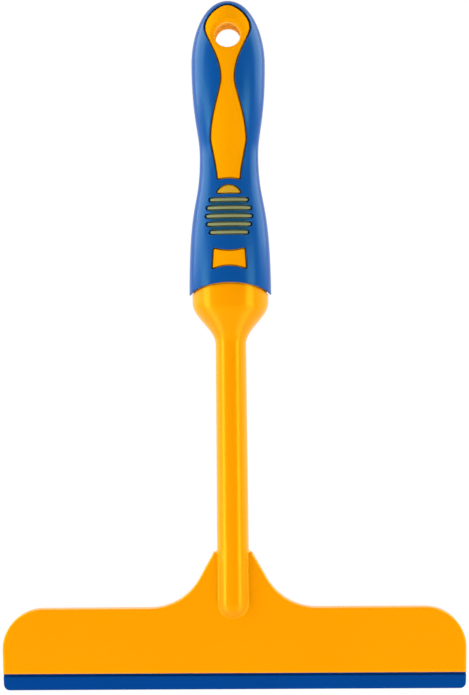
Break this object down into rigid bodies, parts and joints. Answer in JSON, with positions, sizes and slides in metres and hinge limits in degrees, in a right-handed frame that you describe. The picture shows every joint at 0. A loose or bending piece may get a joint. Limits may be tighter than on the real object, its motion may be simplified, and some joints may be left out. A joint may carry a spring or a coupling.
{
  "type": "hand squeegee",
  "caption": "Hand squeegee with a soft waisted grip on a hard core, round shaft, flat bar and a rubber wiping blade that bends and draws out endwise.",
  "frame": {"origin": "centre of the hang hole near the handle's end, midway between front and back", "axes": "+Z along the handle towards its hanging end, X along the blade, the front faces -Y"},
  "size_m": [0.2, 0.0274, 0.2973],
  "materials": {
    "yellow_plastic": "gloss",
    "blue_grip": "satin",
    "blue_blade": "satin"
  },
  "bodies": {
    "body": {"handle_core": "yellow_plastic", "grip_sleeve": "blue_grip", "head_frame": "yellow_plastic"},
    "blade": {"blade_root": "blue_blade"},
    "lip": {"blade_lip": "blue_blade"}
  },
  "joints": [
    {"name": "blade_slide", "type": "slide", "parent": "body", "child": "blade", "axis": [1, 0, 0], "range_m": [0, 0.2]},
    {"name": "lip_flex", "type": "hinge", "parent": "blade", "child": "lip", "pos_m": [0, 0, -0.2754], "axis": [1, 0, 0], "range_deg": [-35, 35], "stiffness_Nm_per_rad": 0.05}
  ]
}
